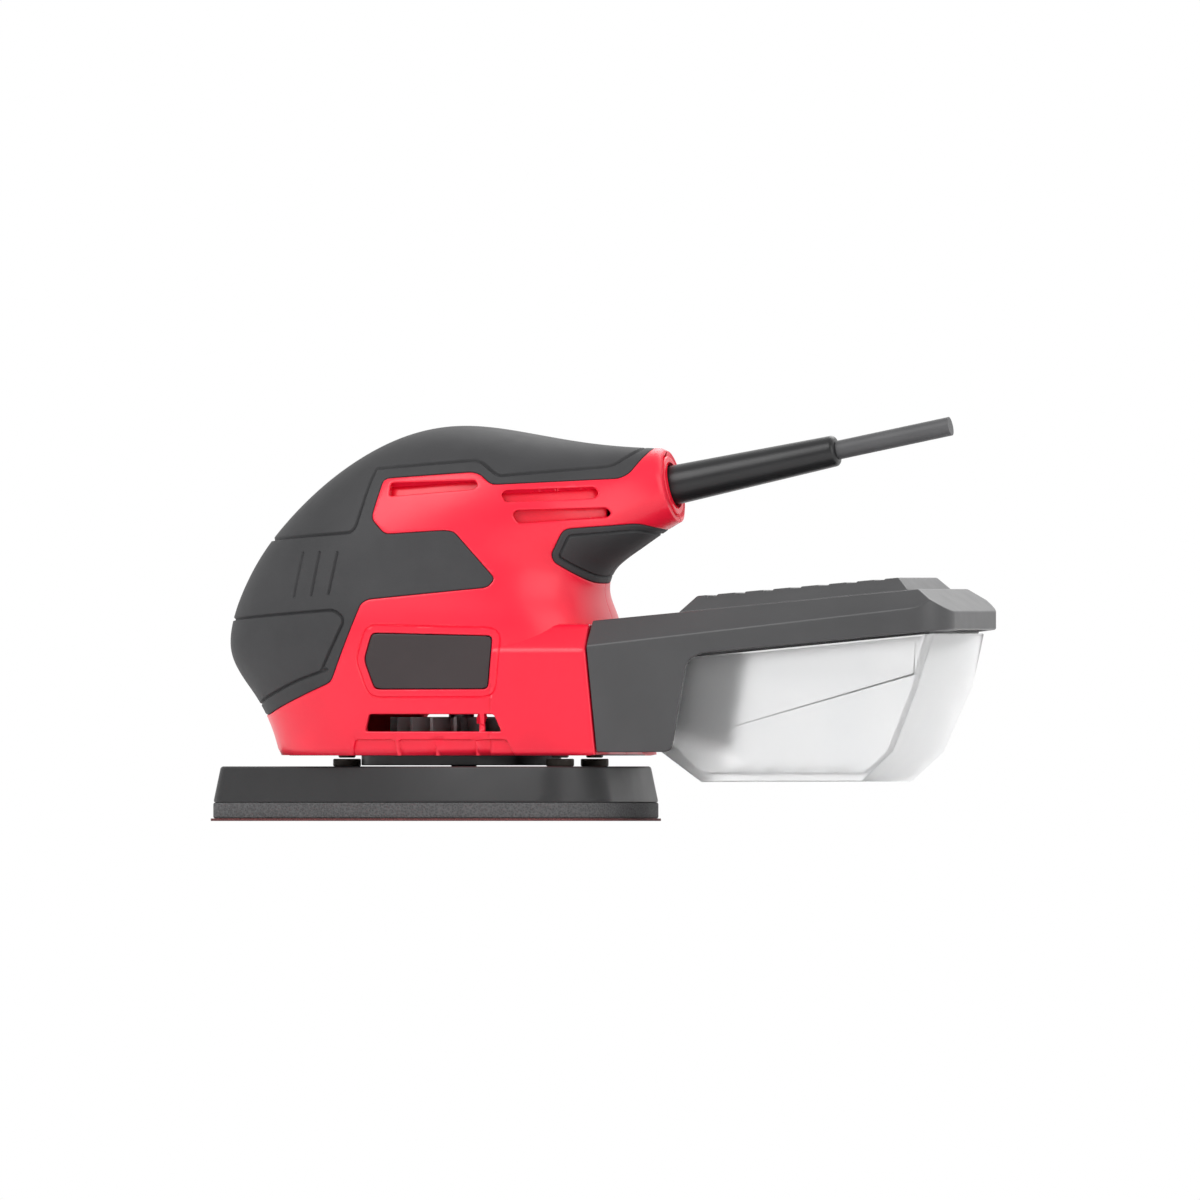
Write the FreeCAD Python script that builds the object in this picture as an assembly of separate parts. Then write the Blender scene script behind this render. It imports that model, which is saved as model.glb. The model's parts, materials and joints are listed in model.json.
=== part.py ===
"""Detail mouse sander: one STEP file per sub-part, in millimetres.

+Z is up, the nose points to -X and the dust box to +X. The origin is on the floor under the
middle of the tool, measured without its cord.
"""
import FreeCAD, Part
import math
import os

V = FreeCAD.Vector

# ---------------------------------------------------------------- driving dimensions
SHEET_LENGTH = 140.0       # standard detail sanding sheet
NOSE_X = -124.5            # front tip of the sheet
BOX_REAR_X = 124.5         # rear of the dust box
MOTOR_X = -43.0            # motor axis
ORBIT = 0.8                # eccentricity of the pad drive
GAP = 0.3                  # clearance between bodies
RUN = 0.04                 # radial clearance of a running fit

SECTION_POINTS = 16        # control points round each housing section
POLE_SPREAD = 3.0 / (2.0 + math.cos(2 * math.pi / SECTION_POINTS))  # keeps its full width
WALL = 3.0                 # housing wall
SKIN = 1.5                 # thickness of the soft grip, let into the wall
HALF_WIDTH = 38.0          # widest half width of the housing
SHOULDER_X = -24.0         # where the square shoulder starts
SHOULDER_HALF_WIDTH = 36.6  # at its front; it widens to HALF_WIDTH
SHOULDER_TOP = 62.0
CHAMFER = 8.0              # bevel along the top edges of shoulder and dust box
REAR_FACE = (7.2, 56.0)    # X and Z of a point on the housing's rear face
REAR_LEAN = 0.1
BODY_Z = 20.6              # underside of the housing

PAD_HALF_WIDTH = 46.5
PAD_CORNER_R = 21.0
PAD_NOSE_R = 8.0
SHEET_T = 0.8
FOAM_TOP = 5.8
PLATEN_TOP = 17.2

CORD_R = 3.0
CORD_AXIS_DEG = 11.65      # the cord leaves the handle rising at this angle
COLLAR_R = 11.75
COLLAR_BORE_R = 7.3
COLLAR_POS = V(26.5, 0, 105.8)
BOOT_LENGTH = 54.4
CORD_LENGTH = 37.5

SHAFT_R = 4.0
BEARING_R = 11.0           # outer radius of a 608 bearing
BEARING_W = 7.0
STATOR_R = 26.0
ARMATURE_R = 15.0
STACK_Z = (48.0, 78.0)     # laminations of stator and armature
COIL_Z = (44.0, 82.0)      # ends of the windings
SHAFT_Z = (23.2, 101.0)
LOWER_BEARING_Z = 36.0
UPPER_BEARING_Z = 95.5
UPPER_BEARING_R = 9.5
UPPER_BEARING_W = 6.0
BEARING_CUP_R = 11.5
COMMUTATOR_R = 9.0
COMMUTATOR_Z = (84.0, 93.0)
FAN_R = 23.0
FAN_HUB_R = 7.0
FAN_Z = (23.5, 25.0, 32.8)  # underside, top of the disc, top of the blades
FAN_BLADES = 18
PIN_X = MOTOR_X + ORBIT     # axis of the pad's bearing
PAD_BEARING_Z = (8.0, 15.0)
WEIGHT_R = 20.0             # counterweight on the eccentric
BRUSH_HALF = 2.5            # half width of a carbon brush

FLOOR_TOP = 23.0            # upper face of the base plate
SEAL_R = 31.5               # dust seal round the fan's inlet
POST_R = 2.7
POSTS = [(-80.3, 0.0), (-5.2, 21.0), (-5.2, -21.0)]
WASHER_R = 4.4
WASHER_TOP = 19.6
SCREW_R = 1.5
SCREW_HEAD_R = 2.9
SCREWS = [(-96.0, 36.0), (-84.0, 92.0), (-50.0, 115.0), (-8.0, 112.0), (-8.0, 64.0)]
GRIP_SCREWS = SCREWS[:4]    # the fifth screw is below the grip

SWITCH_POS = V(-110.8, 0, 77.0)
SWITCH_OUT = V(-0.9, 0, 0.43).normalize()
SWITCH_UP = V(0.43, 0, 0.9).normalize()
ROCKER_PIVOT = -6.0         # depth of the rocker's pin under the surface

DUST_HOLE_R = 3.2
DUST_HOLES = 8
DUST_CIRCLE_R = 24.0
SPOUT_Z = 41.0
SPOUT_R = 8.5
SPOUT_WALL = 1.5

LID_SLOPE = math.tan(math.radians(5.4))
LID_FRONT_X = 8.0
LID_WALL = 2.5
BOX_GAP = 0.5              # between the housing's rear face and the dust box
BOX_LOW_Z = 21.7           # lower end of the box's side panels
VENT_SLOTS = 7
VENT_PITCH = 9.1
VENT_SLOT_HALF = 23.6      # the slots just break through the edges of the cover
CUP_WALL = 2.6
CUP_FLOOR_Z = 12.4
CUP_RIBS_X = (49.8, 59.9, 70.0, 80.4)

# Outer point, inner point (X, Z) and half width of the housing's sections, from base to collar.
SECTIONS = [
    ((-101.0, 20.6), (8.5, 20.6), 36.5), ((-103.8, 33.4), (8.0, 33.0), 37.0),
    ((-113.9, 45.4), (7.4, 45.0), 37.5), ((-117.8, 54.0), (6.8, 55.0), 38.0),
    ((-116.5, 63.0), (6.2, 63.0), 38.0), ((-113.9, 70.6), (3.2, 70.0), 37.0),
    ((-108.7, 81.3), (3.3, 75.0), 36.0), ((-100.8, 92.3), (6.0, 79.4), 35.5),
    ((-85.2, 108.0), (8.7, 81.6), 34.5), ((-64.3, 121.0), (11.3, 83.5), 33.0),
    ((-43.5, 125.7), (14.0, 85.2), 30.0), ((-22.6, 122.5), (17.0, 87.2), 25.0),
    ((-1.7, 118.6), (21.0, 89.8), 18.5), ((13.9, 117.5), (26.0, 93.0), 13.5),
]

# Edge of the front and top soft grip on the side of the housing, (X, Z).
GRIP_EDGE = [
    (20.2, 117.3), (15.6, 109.7), (12.8, 108.0), (-24.9, 106.0), (-28.8, 109.3), (-31.4, 110.0),
    (-60.9, 108.0), (-63.8, 95.4), (-58.9, 90.4), (-39.4, 91.6), (-36.2, 91.2), (-23.2, 76.4),
    (-25.3, 73.6), (-64.0, 69.8), (-66.1, 68.4), (-76.3, 43.7), (-101.7, 33.4),
]
GRIP_OUTSIDE = [(-140.0, 33.4), (-140.0, 140.0), (20.2, 140.0)]
REAR_GRIP_EDGE = [
    (-2.3, 91.9), (18.4, 93.6), (24.9, 91.4), (30.0, 84.0), (14.0, 74.6), (5.6, 74.6),
    (3.4, 74.8), (-5.9, 81.4), (-6.5, 83.9),
]
VENTS = [
    [(-58.3, 106.6), (-30.0, 107.4), (-29.2, 105.6), (-30.2, 104.6), (-58.3, 102.4)],
    [(-21.6, 103.0), (-20.3, 104.3), (5.9, 105.3), (7.3, 103.4), (6.4, 101.8), (-20.2, 100.5)],
    [(-17.8, 96.6), (-16.6, 97.9), (9.9, 98.7), (11.3, 96.9), (10.2, 95.6), (-16.0, 93.7)],
]
BADGE = [(-64.9, 50.7), (-62.3, 59.3), (-23.2, 58.4), (-24.7, 41.5), (-61.6, 41.4)]
WINDOW = [(-65.0, 28.2), (-63.5, 33.6), (-22.8, 33.6), (-20.3, 28.2)]


# ---------------------------------------------------------------- helpers
def cyl(r, z0, z1, x=MOTOR_X, y=0.0):
    return Part.makeCylinder(r, z1 - z0, V(x, y, z0))


def ring(r_out, r_in, z0, z1, x=MOTOR_X, y=0.0):
    return cyl(r_out, z0, z1, x, y).cut(cyl(r_in, z0 - 1, z1 + 1, x, y))


def box(x0, x1, y0, y1, z0, z1):
    return Part.makeBox(x1 - x0, y1 - y0, z1 - z0, V(x0, y0, z0))


def prism_y(points, y0=-60.0, y1=60.0):
    """A side outline (X, Z) carried across the tool in Y."""
    wire = Part.makePolygon([V(x, y0, z) for x, z in points + points[:1]])
    return Part.Face(wire).extrude(V(0, y1 - y0, 0))


def prism_x(points, x0, x1):
    """An end outline (Y, Z) carried along the tool in X."""
    wire = Part.makePolygon([V(x0, y, z) for y, z in points + points[:1]])
    return Part.Face(wire).extrude(V(x1 - x0, 0, 0))


def fuse(shapes):
    result = shapes[0]
    for shape in shapes[1:]:
        result = result.fuse(shape)
    return result.removeSplitter()


def cut_all(shape, tools):
    for tool in tools:
        shape = shape.cut(tool)
    return shape


def polar(count, radius, x=MOTOR_X, start=0.0):
    """Points evenly spaced on a circle round a vertical axis."""
    steps = [math.radians(start + 360.0 * i / count) for i in range(count)]
    return [(x + radius * math.cos(a), radius * math.sin(a)) for a in steps]


def left_half(shape):
    return shape.common(box(-200, 200, -80, 0, -10, 200))


def right_half(shape):
    return shape.common(box(-200, 200, 0, 80, -10, 200))


def along_cord(distance):
    angle = math.radians(CORD_AXIS_DEG)
    return COLLAR_POS + V(math.cos(angle), 0, math.sin(angle)) * distance


CORD_DIR = along_cord(1.0) - COLLAR_POS


# ---------------------------------------------------------------- housing
def section_fullness(index):
    """How square a section is towards its outer and its inner point: 2 is an ellipse."""
    blend = min(max((index - 4) / 3.0, 0.0), 1.0)
    return 2.2 + 0.1 * blend, 3.2 - 0.9 * blend


def section_poles(outer, inner, half_width, inset, fullness):
    """Control points of a closed rounded section between two points of the side outline."""
    half = (outer - inner) * 0.5
    half = half * ((half.Length - inset) / half.Length)
    middle = (outer + inner) * 0.5
    points = []
    for i in range(SECTION_POINTS):
        t = 2 * math.pi * i / SECTION_POINTS
        c, s = math.cos(t), math.sin(t)
        power = 2.0 / (fullness[0] if c > 0 else fullness[1])
        along = math.copysign(abs(c) ** power, c) * POLE_SPREAD
        across = math.copysign(abs(s) ** power, s) * POLE_SPREAD
        points.append(middle + half * along + V(0, (half_width - inset) * across, 0))
    return points


def housing_loft(inset):
    """The housing's outer form, or one parallel to it inside: one smooth skin and two flat ends."""
    rows = []
    for index, (outer, inner, half_width) in enumerate(SECTIONS):
        drop = 1.0 if index == 0 and inset > 0 else 0.0
        ends = V(outer[0], 0, outer[1] - drop), V(inner[0], 0, inner[1] - drop)
        rows.append(section_poles(ends[0], ends[1], half_width, inset, section_fullness(index)))
    up = V(-CORD_DIR.z, 0, CORD_DIR.x) * COLLAR_R
    rows.append(section_poles(COLLAR_POS + up, COLLAR_POS - up, COLLAR_R, inset, (2.0, 2.0)))
    skin = Part.BSplineSurface()
    inner_knots = len(rows) - 4
    skin.buildFromPolesMultsKnots(
        rows, [4] + [1] * inner_knots + [4], [1] * (SECTION_POINTS + 1),
        list(range(inner_knots + 2)), list(range(SECTION_POINTS + 1)), False, True, 3, 3)
    faces = [skin.toShape()]
    for knot in (0, inner_knots + 1):
        faces.append(Part.Face(Part.Wire(skin.uIso(knot).toShape())))
    solid = Part.makeSolid(Part.Shell(Part.Solid(Part.makeShell(faces)).Faces))
    return solid if solid.Volume > 0 else solid.reversed()


def rear_face_x(z, offset=0.0):
    """The housing's rear face leans: it is further back at the bottom."""
    return REAR_FACE[0] + (REAR_FACE[1] - z) * REAR_LEAN + offset


def shoulder(inset):
    """The square shoulder in front of the dust box, with chamfered top edges and a slight taper."""
    low = BODY_Z - (1.0 if inset else 0.0)
    wires = []
    top, bend = SHOULDER_TOP - inset, SHOULDER_TOP - CHAMFER - inset * 0.6
    for x, half_width in ((SHOULDER_X, SHOULDER_HALF_WIDTH), (12.0, HALF_WIDTH)):
        w = half_width - inset
        ends = [(-w, low), (w, low), (w, bend), (w - CHAMFER, top), (CHAMFER - w, top), (-w, bend)]
        wires.append(Part.makePolygon([V(x, y, z) for y, z in ends + ends[:1]]))
    side = [(SHOULDER_X, low), (rear_face_x(low) - inset, low), (rear_face_x(56) - inset, 56.0),
            (rear_face_x(56) - inset, 63.0), (SHOULDER_X, 63.0)]
    return Part.makeLoft(wires, True, True).common(prism_y(side))


def housing_form(inset):
    return housing_loft(inset).fuse(shoulder(inset))


OUTER = housing_form(0)
MID = housing_form(SKIN)
INNER = housing_form(WALL)

# ---------------------------------------------------------------- shapes let into the housing
def cord_cylinder(r, start, end):
    return Part.makeCylinder(r, end - start, along_cord(start), CORD_DIR)


def in_switch_frame(shape):
    turn = FreeCAD.Rotation(SWITCH_UP.cross(SWITCH_OUT), SWITCH_UP, SWITCH_OUT, "ZXY")
    shape.Placement = FreeCAD.Placement(SWITCH_POS, turn)
    return shape


def switch_box(width, height, low, high):
    block = Part.makeBox(width, height, high - low, V(-width / 2, -height / 2, low))
    return in_switch_frame(Part.makeCompound([block]))


def cross_tube(r, x, z, y0, y1):
    return Part.makeCylinder(r, y1 - y0, V(x, y0, z), V(0, 1, 0))


def both_sides(shape):
    return shape.fuse(shape.mirror(V(0, 0, 0), V(0, 1, 0)))


def webs():
    """Ribs that hold the bearings, the stator and the brushes."""
    found = []
    for r, z0, z1, arm_x in ((BEARING_R, LOWER_BEARING_Z, LOWER_BEARING_Z + BEARING_W, -125.0),
                             (BEARING_CUP_R, UPPER_BEARING_Z + 0.5, SHAFT_Z[1] + 1.0, -79.0),
                             (STATOR_R, 50.0, 53.0, None), (STATOR_R, 72.0, 75.0, None)):
        arms = [cyl(r + 3.5, z0, z1), box(MOTOR_X - 3, MOTOR_X + 3, -60, 60, z0, z1)]
        if arm_x is not None:
            arms.append(box(arm_x, -10, -3, 3, z0, z1))
        found.append(fuse(arms).common(MID).cut(cyl(r, z0 - 1, z1 + 1)))
    shelf = box(MOTOR_X - 6, MOTOR_X + 6, 14, 60, 82.5, 85)
    found.append(both_sides(shelf).common(MID))
    for x, z in SCREWS:
        found.append(cross_tube(4.0, x, z, -60, 60).common(MID))
    return found


def collar():
    return cord_cylinder(9.5, -8, 0).cut(cord_cylinder(COLLAR_BORE_R, -9, 1))


def skirt_recess():
    panel = [(-68.4, 25.8), (-18.6, 25.8), (-15.2, 20.0), (-70.0, 20.0)]
    ribs = [prism_y([(x - 0.5, 19), (x + 0.5, 19), (x + 0.5, 27), (x - 0.5, 27)])
            for x in (-54.0, -41.0, -28.0)]
    return cut_all(prism_y(panel).cut(housing_form(1.0)), ribs)


def front_grip():
    return OUTER.common(prism_y(GRIP_EDGE + GRIP_OUTSIDE)).cut(MID)


def rear_grip():
    return OUTER.common(prism_y(REAR_GRIP_EDGE)).cut(MID)


def switch_opening():
    return switch_box(17.0, 25.0, -14, 10)


def screw_recesses(screws):
    """The heads sink in from the right side, through the grip where it covers them."""
    return [cross_tube(SCREW_HEAD_R + GAP, x, z, 10, 60) for x, z in screws]


def wall_openings():
    holes = [cross_tube(SCREW_R + 0.1, x, z, -14, 12) for x, z in SCREWS]
    return [switch_opening()] + screw_recesses(SCREWS) + holes


def side_openings():
    tools = [prism_y(v) for v in VENTS]
    left, right = WINDOW[0][0], WINDOW[3][0]
    middle = box(-27.5, -25.8, -60, 60, 20, 40)
    window = prism_y(WINDOW).cut(middle).cut(box(left - 5, right + 5, -25, 25, 20, 40))
    return tools + [window, skirt_recess(), badge_pocket(),
                    Part.makeCylinder(SPOUT_R, 20, V(-4, 0, SPOUT_Z), V(1, 0, 0))]


def badge_pocket():
    return prism_y(BADGE).cut(housing_form(1.4))


def make_housing(grips):
    shell = OUTER.cut(INNER)
    for grip in grips:
        shell = shell.cut(grip)
    shell = fuse([shell, collar()] + webs())
    return cut_all(shell, wall_openings() + side_openings())


def make_baffles(housing):
    """Plates close behind the vent slots, which stop a finger and let air past their ends."""
    layer = housing_loft(WALL).cut(housing_loft(WALL + 1.2))
    layer = layer.common(box(-60, 9, -60, 60, 93, 109))
    return layer.cut(housing).cut(box(-60, 9, -8, 8, 90, 112))


def make_badges():
    return housing_form(0.2).common(prism_y(BADGE)).cut(housing_form(1.4))


# ---------------------------------------------------------------- base, posts and screws
def make_base_plate():
    plate = INNER.common(box(-125, 12, -60, 60, BODY_Z, FLOOR_TOP)).cut(cyl(SEAL_R, 0, 40))
    return cut_all(plate, [cyl(POST_R, 0, 40, x, y) for x, y in POSTS])


def make_dust_seal():
    return ring(SEAL_R, SEAL_R - 2, PLATEN_TOP + GAP, FLOOR_TOP)


def make_posts():
    foot = WASHER_TOP + GAP
    return [cyl(POST_R, foot, FLOOR_TOP, x, y).fuse(cyl(5.0, FLOOR_TOP, FLOOR_TOP + 3.5, x, y))
            for x, y in POSTS]


def make_post_washers():
    return [cyl(WASHER_R, PLATEN_TOP, WASHER_TOP, x, y) for x, y in POSTS]


def make_housing_screws():
    return [cross_tube(SCREW_R, x, z, -13, 10).fuse(cross_tube(SCREW_HEAD_R, x, z, 10, 12.4))
            for x, z in SCREWS]


# ---------------------------------------------------------------- motor
def make_stator():
    core = ring(STATOR_R, ARMATURE_R + 0.4, *STACK_Z)
    coils = []
    for z0, z1 in ((44.5, STACK_Z[0]), (STACK_Z[1], COIL_Z[1])):
        coil = ring(24.0, 17.0, z0, z1)
        coils += [coil.common(box(-90, 0, 5, 40, 0, 99)), coil.common(box(-90, 0, -40, -5, 0, 99))]
    return core, coils


def make_armature():
    core = ring(ARMATURE_R, SHAFT_R, *STACK_Z)
    for x, y in polar(12, ARMATURE_R):
        core = core.cut(cyl(1.8, STACK_Z[0] - 1, STACK_Z[1] + 1, x, y))
    return core


def make_windings():
    return [ring(13.0, SHAFT_R, COIL_Z[0], STACK_Z[0]),
            ring(13.0, SHAFT_R, STACK_Z[1], COIL_Z[1])]


def make_fan():
    bottom, disc_top, top = FAN_Z
    disc = ring(FAN_R, SHAFT_R, bottom, disc_top).fuse(ring(FAN_HUB_R, SHAFT_R, disc_top, top))
    blades = []
    for i in range(FAN_BLADES):
        blade = box(MOTOR_X + FAN_HUB_R + 2, MOTOR_X + FAN_R - 0.5, -0.5, 0.5, disc_top - 0.5, top)
        blade.rotate(V(MOTOR_X, 0, 0), V(0, 0, 1), 360.0 / FAN_BLADES * i)
        blades.append(blade)
    return fuse([disc] + blades)


def make_eccentric():
    """Hub on the motor shaft with its counterweight, and the pin the pad turns on."""
    low = PLATEN_TOP + 2 * GAP
    hub = cyl(9.0, low, SHAFT_Z[0])
    weight = cyl(WEIGHT_R, low, 22.5).common(box(-90, MOTOR_X, -40, 40, 0, 40))
    pin = cyl(SHAFT_R, PAD_BEARING_Z[0] - GAP, low, PIN_X).cut(cyl(2.0, 7.0, 16.0, PIN_X))
    return fuse([hub, weight, pin])


def make_brushes():
    holder = box(MOTOR_X - 4.5, MOTOR_X + 4.5, 10.5, 26, 85, 92)
    slot = BRUSH_HALF + 0.1
    holder = holder.cut(box(MOTOR_X - slot, MOTOR_X + slot, 9, 25, 86, 91))
    brush = box(MOTOR_X - BRUSH_HALF, MOTOR_X + BRUSH_HALF, COMMUTATOR_R + 0.1, 19, 86.1, 90.9)
    coil = Part.makeCylinder(2.3, 4, V(MOTOR_X - 2, 21.5, 88.5), V(1, 0, 0))
    coil = coil.cut(Part.makeCylinder(1.5, 6, V(MOTOR_X - 3, 21.5, 88.5), V(1, 0, 0)))
    return [both_sides(piece) for piece in (holder, brush, coil)]


# ---------------------------------------------------------------- switch
def make_switch():
    hollow = switch_box(13.6, 21.6, -12, 5)
    pin = Part.makeCylinder(1.5, 16.4, V(-8.2, 0, ROCKER_PIVOT), V(1, 0, 0))
    hole = Part.makeCylinder(1.5 + RUN, 16.8, V(-8.4, 0, ROCKER_PIVOT), V(1, 0, 0))
    frame = switch_box(16.8, 24.8, -14, 3).common(housing_loft(1.0))
    frame = frame.cut(hollow).cut(in_switch_frame(Part.makeCompound([hole])))
    rocker = switch_box(12.6, 18.4, -7.5, 3).common(housing_loft(1.2))
    return frame, rocker.fuse(in_switch_frame(Part.makeCompound([pin])))


# ---------------------------------------------------------------- cord
def make_boot():
    sleeve = Part.makeCone(6.45, 4.95, BOOT_LENGTH + 8.3, along_cord(-8.3), CORD_DIR)
    return sleeve.fuse(cord_cylinder(8.2, -11, -8.3)).cut(cord_cylinder(CORD_R, -12, 70))


def make_clamp():
    return box(9, 14, -6, 6, 98.5, 107).cut(cord_cylinder(CORD_R, -30, 0))


def make_wires():
    route = [(4, 101), (-14, 105.5), (-30, 107.5), (-70, 108), (-80, 106), (-96, 90), (-91.5, 84.5)]
    wires = []
    for y in (-1.4, 1.4):
        pieces = []
        for (x0, z0), (x1, z1) in zip(route, route[1:]):
            run = V(x1 - x0, 0, z1 - z0)
            pieces.append(Part.makeCylinder(0.9, run.Length, V(x0, y, z0), run))
            pieces.append(Part.makeSphere(0.9, V(x1, y, z1)))
        wires.append(fuse(pieces))
    return wires


# ---------------------------------------------------------------- sanding pad
def pad_wire(inset, z):
    """The iron-shaped outline of the pad, or one parallel to it inside."""
    angle = math.radians(27)
    nose_r = PAD_NOSE_R - inset
    corner_r = PAD_CORNER_R - inset
    half_width = PAD_HALF_WIDTH - inset
    front_x = NOSE_X + inset
    rear_x = NOSE_X + SHEET_LENGTH - 1.0 - inset
    start = V(front_x + nose_r * (1 - math.sin(angle)), nose_r * math.cos(angle), 0)
    corner = V(rear_x - corner_r, half_width, 0)
    last = V(rear_x, half_width - corner_r, 0)
    bend = corner_r * (1 - math.sqrt(0.5))
    flank = Part.BezierCurve()
    flank.setPoles([start, start + V(math.cos(angle), math.sin(angle), 0) * 45,
                    corner - V(45, 0, 0), corner])
    turn = Part.Arc(corner, V(rear_x - bend, half_width - bend, 0), last)
    half = [flank.toShape(), turn.toShape()]
    other = [edge.mirror(V(0, 0, 0), V(0, 1, 0)) for edge in half]
    ends = [Part.Arc(V(start.x, -start.y, 0), V(front_x, 0, 0), start).toShape(),
            Part.Arc(last, V(rear_x + 1.0, 0, 0), V(last.x, -last.y, 0)).toShape()]
    wire = Part.Wire(Part.__sortEdges__(half + other + ends))
    wire.translate(V(0, 0, z))
    return wire


def pad_layer(inset, z0, z1):
    return Part.Face(pad_wire(inset, z0)).extrude(V(0, 0, z1 - z0))


def dust_holes():
    places = polar(DUST_HOLES, DUST_CIRCLE_R, PIN_X, 22.5)
    return [cyl(DUST_HOLE_R, -1, PLATEN_TOP + 1, x, y) for x, y in places]


def make_platen():
    platen = Part.makeLoft([pad_wire(0.8, FOAM_TOP), pad_wire(3.2, PLATEN_TOP)], True, True)
    bore = [cyl(BEARING_R, 5, PAD_BEARING_Z[1], PIN_X), cyl(9.5, 14, 18, PIN_X)]
    return cut_all(platen, bore + dust_holes())


# ---------------------------------------------------------------- dust box
def lid_top(x):
    return 63.1 + (x - LID_FRONT_X) * LID_SLOPE


def plan_prism(inset):
    """Plan of the dust box, with round rear corners."""
    front, rear, r = 7.0, BOX_REAR_X - inset, 12.0 - inset
    w0, w1 = HALF_WIDTH - inset, 36.0 - inset
    bend = r * (1 - math.sqrt(0.5))
    points = [V(front, -w0, 0), V(rear - r, -w1, 0), V(rear, r - w1, 0),
              V(rear, w1 - r, 0), V(rear - r, w1, 0), V(front, w0, 0)]
    edges = [Part.makeLine(points[0], points[1]),
             Part.Arc(points[1], V(rear - bend, bend - w1, 0), points[2]).toShape(),
             Part.makeLine(points[2], points[3]),
             Part.Arc(points[3], V(rear - bend, w1 - bend, 0), points[4]).toShape(),
             Part.makeLine(points[4], points[5]), Part.makeLine(points[5], points[0])]
    return Part.Face(Part.Wire(edges)).extrude(V(0, 0, 120))


def sloped_prism(outline, x0, x1):
    """An end outline (Y, Z) carried back along the slope of the lid."""
    wire = Part.makePolygon([V(x0, y, z) for y, z in outline + outline[:1]])
    return Part.Face(wire).extrude(V(x1 - x0, 0, (x1 - x0) * LID_SLOPE))


def lid_form(inset):
    """The lid's outer form, or its hollow, which is open below."""
    drop = 8.0 if inset else 0.0
    rear = BOX_REAR_X - inset
    side = [(7.0, 49.3 - drop), (7.0, lid_top(7) - inset), (114.0, lid_top(114) - inset),
            (rear, 66.0 - inset), (rear, 60.3 - drop), (112.5, 59.2 - drop)]
    return plan_prism(inset).common(prism_y(side)).common(chamfer_prism(inset))


def chamfer_prism(inset):
    """End outline of the dust box with its two chamfers, carried back along the lid's slope."""
    w = HALF_WIDTH - inset
    top = lid_top(7) - inset
    bend = top - CHAMFER
    ends = [(-w, 0), (w, 0), (w, bend), (w - CHAMFER, top), (CHAMFER - w, top), (-w, bend)]
    return sloped_prism(ends, 7.0, 130.0)


def ahead_of_box():
    """The space in front of the dust box, which leans with the housing's rear face."""
    low, bend = rear_face_x(15.0, BOX_GAP), rear_face_x(REAR_FACE[1], BOX_GAP)
    return prism_y([(-10.0, 15.0), (low, 15.0), (bend, REAR_FACE[1]), (bend, 80.0), (-10.0, 80.0)])


def make_dust_frame():
    """Lid, side panels and the front wall, as one rubber-faced moulding."""
    wall = BOX_GAP + LID_WALL
    face = [(rear_face_x(62, BOX_GAP), 62.0), (rear_face_x(BOX_LOW_Z, BOX_GAP), BOX_LOW_Z),
            (rear_face_x(BOX_LOW_Z, wall), BOX_LOW_Z), (rear_face_x(62, wall), 62.0)]
    front = prism_y(face, -HALF_WIDTH, HALF_WIDTH)
    front = front.cut(Part.makeCylinder(11.8, 20, V(0, 0, SPOUT_Z), V(1, 0, 0)))
    panel = [(7.0, 56.0), (48.5, 56.0), (47.5, 53.6), (43.6, 52.2), (41.2, 50.9), (40.0, 48.9)]
    panel += [(35.7, 24.2), (34.9, 22.4), (33.2, BOX_LOW_Z), (7.0, BOX_LOW_Z)]
    sides = prism_y(panel, -HALF_WIDTH, HALF_WIDTH).cut(prism_y(panel, -35.6, 35.6))
    shell = lid_form(0).cut(lid_form(LID_WALL))
    vent = box(46, 98, -18, 18, 60, 80)
    body = [piece.common(plan_prism(0)).common(chamfer_prism(0)) for piece in (front, sides)]
    return fuse([shell] + body).cut(vent).cut(ahead_of_box())


def make_vent_cover():
    side = [(34.9, lid_top(34.9)), (40.0, 70.9), (105.8, 76.7), (109.8, lid_top(109.8))]
    foot = lid_top(30.0)
    ends = [(-27, foot), (27, foot), (23, foot + 5), (-23, foot + 5)]
    block = prism_y(side).common(sloped_prism(ends, 30.0, 115.0))
    for i in range(VENT_SLOTS):
        x = 43.5 + VENT_PITCH * i
        block = block.cut(box(x, x + 3.0, -VENT_SLOT_HALF, VENT_SLOT_HALF, 60, 90))
    return block


def make_filter():
    frame = box(-32, 32, -28, 28, -2.4, 0).cut(box(-29, 29, -25, 25, -3, 1))
    teeth = 14
    zigzag = [(-29 + 58.0 * i / teeth, -6.0 if i % 2 else -1.2) for i in range(teeth + 1)]
    back = [(x, z - 0.9) for x, z in reversed(zigzag)]
    pleats = prism_y(zigzag + back, -25, 25)
    for shape in (frame, pleats):
        shape.rotate(V(0, 0, 0), V(0, 1, 0), -math.degrees(math.atan(LID_SLOPE)))
        shape.translate(V(74.0, 0, lid_top(74) - LID_WALL - 0.8))
    return frame, pleats


# ---------------------------------------------------------------- dust cup
def cup_form(inset, raised=0.0):
    """The cup's outer form, or its hollow, carried up past its sloping rim if wanted."""
    side = [(13.2 + inset, 34.0), (31.0 + inset, 21.3 + inset), (43.1, CUP_FLOOR_Z - 0.1 + inset),
            (95.8, CUP_FLOOR_Z + inset), (106.1 - inset, 21.9), (114.8 - inset, 42.2),
            (119.4 - inset, 59.1 + raised), (11.9 + inset, 48.8 + raised)]
    ends = [(-35.3 + inset, 70), (-30 + inset, 10), (30 - inset, 10), (35.3 - inset, 70)]
    return prism_y(side).common(prism_x(ends, 0, 130)).common(plan_prism(LID_WALL + GAP + inset))


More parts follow.
